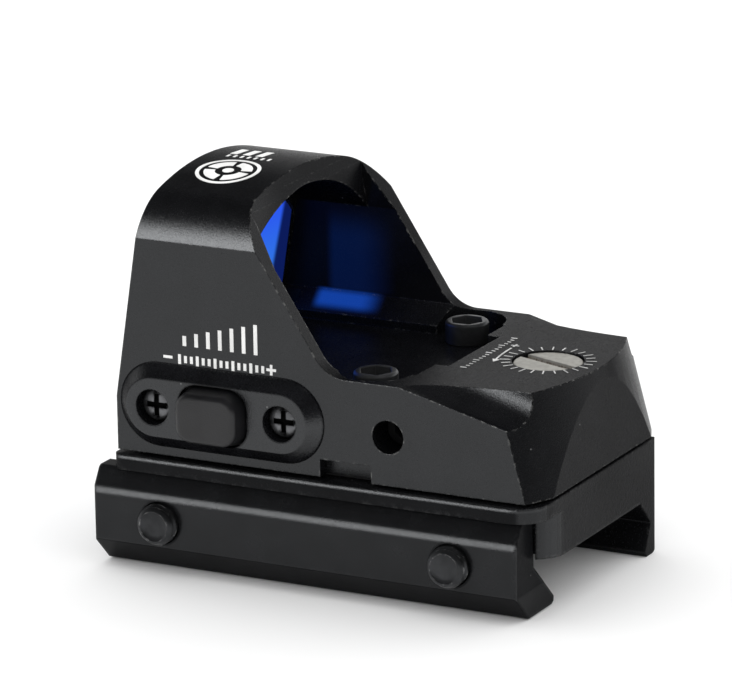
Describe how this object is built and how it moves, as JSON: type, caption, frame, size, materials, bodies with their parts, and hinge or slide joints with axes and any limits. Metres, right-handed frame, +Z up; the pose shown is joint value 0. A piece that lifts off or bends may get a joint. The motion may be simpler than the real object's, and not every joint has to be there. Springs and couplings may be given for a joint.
{
  "type": "red dot finder",
  "caption": "Compact open reflex finder with a coated lens in a hood, a side brightness button, slotted adjusters and a screw-tightened rail clamp.",
  "frame": {"origin": "middle of the width of the flat seat that rests on top of the rail, midway between the two clamp screws", "axes": "+X to the right of the finder, +Y forward along the line of sight towards the target, +Z up"},
  "size_m": [0.0302, 0.0456, 0.0367],
  "materials": {
    "housing": "matte black anodised",
    "lens": "blue reflective coating",
    "lens_seal": "cured sealant bead",
    "control_pad": "satin black moulded rubber",
    "pad_screw_front": "black oxide",
    "pad_screw_rear": "black oxide",
    "brightness_button": "matte black rubber",
    "switch_body": "moulded resin",
    "switch_plunger": "moulded resin",
    "circuit_board": "solder mask",
    "battery": "plain steel can",
    "battery_contact_top": "sprung contact",
    "battery_contact_side": "sprung contact",
    "emitter_block": "machined",
    "emitter_carriage": "machined",
    "elevation_nut": "machined",
    "emitter_led": "clear red resin",
    "emitter_window": "clear pane",
    "elevation_dial": "bare turned metal",
    "elevation_seal": "o-ring",
    "elevation_spring": "spring wire",
    "windage_screw": "black oxide",
    "windage_seal": "o-ring",
    "windage_spring": "spring wire",
    "windage_plug": "black oxide",
    "mounting_screw_left": "black oxide",
    "mounting_screw_right": "black oxide",
    "base_gasket": "sheet rubber",
    "locating_pin_left": "ground",
    "locating_pin_right": "ground",
    "rail_base": "matte black anodised",
    "clamp_bar": "satin black anodised",
    "clamp_screw_front": "black oxide",
    "clamp_screw_rear": "black oxide"
  },
  "bodies": {
    "finder": {"housing": "housing", "lens": "lens", "lens_seal": "lens_seal", "control_pad": "control_pad", "pad_screw_front": "pad_screw_front", "pad_screw_rear": "pad_screw_rear", "switch_body": "switch_body", "circuit_board": "circuit_board", "battery": "battery", "battery_contact_top": "battery_contact_top", "battery_contact_side": "battery_contact_side", "emitter_window": "emitter_window", "elevation_seal": "elevation_seal", "elevation_spring": "elevation_spring", "windage_seal": "windage_seal", "windage_spring": "windage_spring", "windage_plug": "windage_plug", "mounting_screw_left": "mounting_screw_left", "mounting_screw_right": "mounting_screw_right", "base_gasket": "base_gasket", "locating_pin_left": "locating_pin_left", "locating_pin_right": "locating_pin_right", "rail_base": "rail_base"},
    "front_clamp_screw": {"clamp_screw_front": "clamp_screw_front"},
    "rear_clamp_screw": {"clamp_screw_rear": "clamp_screw_rear"},
    "clamp": {"clamp_bar": "clamp_bar"},
    "button": {"brightness_button": "brightness_button", "switch_plunger": "switch_plunger"},
    "elevation_dial": {"elevation_dial": "elevation_dial"},
    "lift_nut": {"elevation_nut": "elevation_nut"},
    "windage_adjuster": {"windage_screw": "windage_screw"},
    "emitter_block": {"emitter_block": "emitter_block"},
    "emitter_carriage": {"emitter_carriage": "emitter_carriage", "emitter_led": "emitter_led"}
  },
  "joints": [
    {"name": "clamp_slide", "type": "slide", "parent": "finder", "child": "clamp", "axis": [-1, 0, 0], "range_m": [0, 0.0028]},
    {"name": "front_clamp_screw_turn", "type": "hinge", "parent": "finder", "child": "front_clamp_screw", "pos_m": [0, 0.015, -0.0005], "axis": [1, 0, 0], "range_deg": [-0.5, 1449]},
    {"name": "rear_clamp_screw_turn", "type": "hinge", "parent": "finder", "child": "rear_clamp_screw", "pos_m": [0, -0.015, -0.0005], "axis": [1, 0, 0], "range_deg": [-0.5, 1449]},
    {"name": "button_press", "type": "slide", "parent": "finder", "child": "button", "axis": [1, 0, 0], "range_m": [0, 0.0005], "stiffness_N_per_m": 300},
    {"name": "emitter_lift", "type": "slide", "parent": "emitter_block", "child": "emitter_carriage", "axis": [0, 0, -1], "range_m": [-0.0003375, 0.0003375], "deforming": ["elevation_spring"]},
    {"name": "elevation_dial_turn", "type": "hinge", "parent": "finder", "child": "elevation_dial", "pos_m": [0, -0.018, 0.01516], "axis": [0, 0, 1], "range_deg": [-271.5, 271.5]},
    {"name": "lift_nut_slide", "type": "slide", "parent": "finder", "child": "lift_nut", "axis": [0, 0, -1], "range_m": [-0.0003425, 0.0003425]},
    {"name": "emitter_shift", "type": "slide", "parent": "finder", "child": "emitter_block", "axis": [-1, 0, 0], "range_m": [-0.0003, 0.0003], "deforming": ["windage_spring"]},
    {"name": "windage_turn", "type": "hinge", "parent": "finder", "child": "windage_adjuster", "pos_m": [0.0123, -0.00838, 0.01043], "axis": [1, 0, 0], "range_deg": [-271.5, 271.5]}
  ],
  "couplings": [
    {"joint": "front_clamp_screw_turn", "follows": "clamp_slide", "rad_per_m": 8976},
    {"joint": "rear_clamp_screw_turn", "follows": "clamp_slide", "rad_per_m": 8976},
    {"joint": "elevation_dial_turn", "follows": "emitter_lift", "rad_per_m": 13963},
    {"joint": "lift_nut_slide", "follows": "emitter_lift", "ratio": 1},
    {"joint": "windage_turn", "follows": "emitter_shift", "rad_per_m": 15708}
  ]
}
